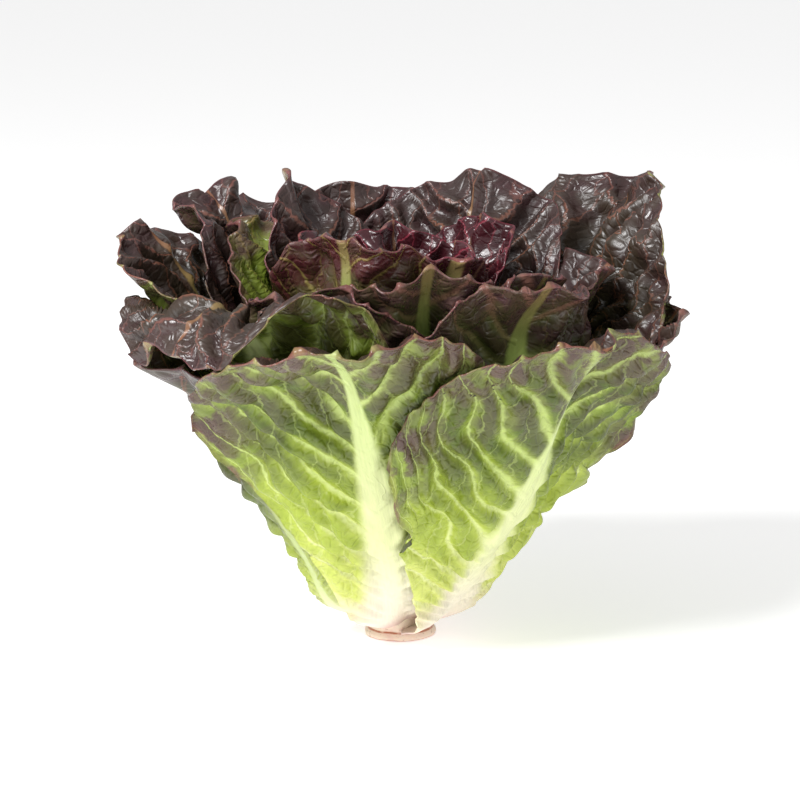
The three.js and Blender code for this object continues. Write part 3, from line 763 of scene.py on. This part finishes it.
def make_leaf(name, data):
    deselect()
    rows, columns = data["place"].shape[:2]
    bpy.ops.mesh.primitive_grid_add(x_subdivisions=columns - 1, y_subdivisions=rows - 1, size=2)
    leaf = bpy.context.object
    leaf.name = leaf.data.name = name + "_fine"
    mesh = leaf.data
    flat = np.empty(len(mesh.vertices) * 3)
    mesh.vertices.foreach_get("co", flat)
    flat = flat.reshape(-1, 3)
    column = np.rint((flat[:, 0] + 1) / 2 * (columns - 1)).astype(int)
    row = np.rint((flat[:, 1] + 1) / 2 * (rows - 1)).astype(int)
    mesh.vertices.foreach_set("co", (data["place"][row, column] / 1000).ravel())

    for key in ("along", "edge", "rib"):
        values = mesh.attributes.new(key, "FLOAT", "POINT")
        values.data.foreach_set("value", data[key][row, column].astype(np.float32))
    while mesh.uv_layers:
        mesh.uv_layers.remove(mesh.uv_layers[0])
    corner = np.empty(len(mesh.loops), int)
    mesh.loops.foreach_get("vertex_index", corner)
    r, c = row[corner], column[corner]
    face_left = np.repeat(c.reshape(-1, 4).mean(1) < (columns - 1) / 2, 4)
    blade = np.stack([data["signed"][r, c], data["s"][r, c]], -1) / 100
    number = np.where(face_left, data["left"][0][r, c], data["right"][0][r, c])
    out = np.where(face_left, data["left"][1][r, c], data["right"][1][r, c])
    for key, values in (("blade", blade), ("veins", np.stack([number, out], -1))):
        mesh.uv_layers.new(name=key).data.foreach_set("uv", values.astype(np.float32).ravel())

    group = leaf.vertex_groups.new(name="thickness")
    share = data["thick"][row, column] / 1000 / THICKEST
    for level in range(1, 101):  # vertices of like thickness go in together
        near = np.nonzero(np.rint(np.clip(share, 0.01, 1) * 100) == level)[0]
        if len(near):
            group.add(near.tolist(), level / 100, "REPLACE")
    mesh.update()
    face, back = finishes.get(name) or finishes[name.split("_")[0]]
    mesh.materials.append(face)
    mesh.materials.append(back)
    solid = leaf.modifiers.new("thickness", "SOLIDIFY")
    solid.thickness, solid.offset = THICKEST, 1.0
    solid.vertex_group = "thickness"
    solid.use_even_offset = False
    solid.material_offset, solid.material_offset_rim = 1, 1
    bpy.ops.object.modifier_apply(modifier="thickness")
    mesh.polygons.foreach_set("use_smooth", np.ones(len(mesh.polygons), bool))
    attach(leaf, "root")
    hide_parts(name)
    return leaf


made = [make_leaf(name, data) for name, data in laid.items()]
print(len(made), "leaves,", sum(len(o.data.polygons) for o in made), "faces")

# %% [markdown]
# ## The stem
# The stem is a short cone, cut flat at the root, and the leaves' feet grow out of it. A cone and a
# cylinder joined would leave a hard corner, so it is drawn upwards from a filled circle, ring by
# ring, as on a potter's wheel. Its cut edge has dried, and is browner than the rest.

# %% Make the stem
def make_stem():
    deselect()
    bpy.ops.mesh.primitive_circle_add(vertices=72, radius=1, fill_type="NGON")
    stem = bpy.context.object
    stem.name = stem.data.name = "stem_fine"
    rings = [(CUT_RADIUS - 0.9, 0.0), (CUT_RADIUS - 0.2, 0.25), (CUT_RADIUS, 0.9), (CUT_RADIUS - 0.1, 1.6),
             (CUT_RADIUS - 0.6, CUT_HEIGHT), (CUT_RADIUS - 1.4, 3.2), (CUT_RADIUS - 1.2, 5.5),
             (CUT_RADIUS - 0.2, 8.5), (CUT_RADIUS + 0.4, 11.5), (CUT_RADIUS - 0.6, 15.0), (NECK_RADIUS, 20.0)]
    rings += [(float(stem_radius(z)), z) for z in np.linspace(24, STEM_HEIGHT, 10)]
    bpy.ops.object.mode_set(mode="EDIT")
    bpy.ops.mesh.select_all(action="SELECT")
    radius, height = 1.0, 0.0
    for k, (r, z) in enumerate(rings):
        if k:
            bpy.ops.mesh.extrude_region_move(TRANSFORM_OT_translate={"value": (0, 0, z - height)})
        scale = r / radius
        bpy.ops.transform.resize(value=(scale, scale, 1), center_override=(0, 0, z))
        radius, height = r, z
    bpy.ops.mesh.select_all(action="SELECT")
    bpy.ops.mesh.normals_make_consistent(inside=False)
    bpy.ops.object.mode_set(mode="OBJECT")
    uneven = waves_of(4, 6, 5, 14)
    place = np.empty(len(stem.data.vertices) * 3)
    stem.data.vertices.foreach_get("co", place)
    place = place.reshape(-1, 3)
    turn = np.arctan2(place[:, 1], place[:, 0])
    swell = 1 + 0.012 * uneven(14 * np.cos(turn), 14 * np.sin(turn)) + 0.01 * np.sin(5 * turn + 1)
    place[:, :2] *= swell[:, None]
    stem.data.vertices.foreach_set("co", (place / 1000).ravel())
    stem.data.update()
    stem.data.shade_smooth()
    return stem


def stem_finish():
    f = Finish("cut stem")
    place = f.node("ShaderNodeTexCoord", 3)
    _, _, z = f.split(place)
    mottle = f.noise(place, 160.0, 5.0, 0.6)
    patches = f.noise(place, 420.0, 4.0, 0.6)
    flesh = [(0.3, (0.86, 0.64, 0.54)), (0.55, (0.88, 0.74, 0.60)), (0.75, (0.84, 0.76, 0.56))]
    colour = f.ramp(mottle, flesh)
    high = f.math("MULTIPLY", z, 1000.0)
    lines = f.math("PINGPONG", f.math("ADD", high, f.math("MULTIPLY_ADD", mottle, 0.8, -0.4)), 1.6)
    rim = f.math("MULTIPLY", f.step(lines, 0.6, 0.15), f.step(high, 4.4, 3.6))
    rim = f.math("MULTIPLY", rim, f.step(patches, 0.3, 0.55, (0.55, 1.0)))
    colour = f.mix(rim, colour, (0.46, 0.15, 0.07))
    specks = f.step(f.noise(place, 700.0, 2.0), 0.62, 0.72)
    colour = f.mix(f.math("MULTIPLY", specks, 0.5), colour, (0.30, 0.15, 0.07))
    f.put(f.shader.inputs["Base Color"], colour)
    f.put(f.shader.inputs["Roughness"], f.step(mottle, 0.3, 0.7, (0.38, 0.6)))
    f.shader.inputs["Subsurface Weight"].default_value = 0.15
    f.shader.inputs["Subsurface Radius"].default_value = (1.0, 0.6, 0.4)
    f.shader.inputs["Subsurface Scale"].default_value = 0.003
    bump = f.node("ShaderNodeBump", Strength=0.5, Distance=0.0004, Height=patches)
    f.put(f.shader.inputs["Normal"], bump)
    return f.material


stem = make_stem()
stem.data.materials.clear()
stem.data.materials.append(stem_finish())
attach(stem, "root")
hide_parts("stem")
print("stem", len(stem.data.polygons), "faces")

# %% [markdown]
# ## Floor, light and camera
# A white table, a broad soft light from the upper left, a weak one from the front and a pale sky
# give the even light of a studio, with a faint shadow to the right. The table glows a little, as a
# lit white sheet does, so the undersides of the leaves are not lost in shade.

# %% Stage
def make_floor():
    deselect()
    bpy.ops.mesh.primitive_plane_add(size=12)
    floor = bpy.context.object
    floor.name = "floor"
    f = Finish("white table")
    f.shader.inputs["Base Color"].default_value = (0.93, 0.93, 0.93, 1)
    f.shader.inputs["Roughness"].default_value = 0.9
    f.shader.inputs["Emission Color"].default_value = (1, 1, 1, 1)
    f.shader.inputs["Emission Strength"].default_value = 0.46
    floor.data.materials.append(f.material)


def make_light(name, place, aim, size, watts):
    deselect()
    bpy.ops.object.light_add(type="AREA", location=place)
    light = bpy.context.object
    light.name = name
    light.data.shape, light.data.size, light.data.energy = "DISK", size, watts
    direction = mathutils.Vector(aim) - mathutils.Vector(place)
    light.rotation_euler = direction.to_track_quat("-Z", "Y").to_euler()


make_floor()
middle = (0, 0, 0.1)
make_light("key", (-0.7, -0.7, 1.15), middle, 0.6, 24)
make_light("front", (0.3, -1.5, 0.2), middle, 0.6, 3.5)
world = bpy.data.worlds.new("studio")
world.use_nodes = True
sky = world.node_tree.nodes["Background"]
sky.inputs[0].default_value = (1, 1, 1, 1)
sky.inputs[1].default_value = 0.46
bpy.context.scene.world = world
bpy.context.scene.view_settings.view_transform = "Standard"

# %% Camera
AIM_HEIGHT, DISTANCE, TILT = 0.0965, 1.1, math.radians(12)
VIEW_WIDTH, FILM = 0.32, 36  # metres seen across at the head, and millimetres of film
deselect()
place = (0, -DISTANCE * math.cos(TILT), AIM_HEIGHT + DISTANCE * math.sin(TILT))
bpy.ops.object.camera_add(location=place, rotation=(math.pi / 2 - TILT, 0, 0))
camera = bpy.context.object
camera.data.sensor_width = FILM
camera.data.lens = FILM * DISTANCE / VIEW_WIDTH
bpy.context.scene.camera = camera
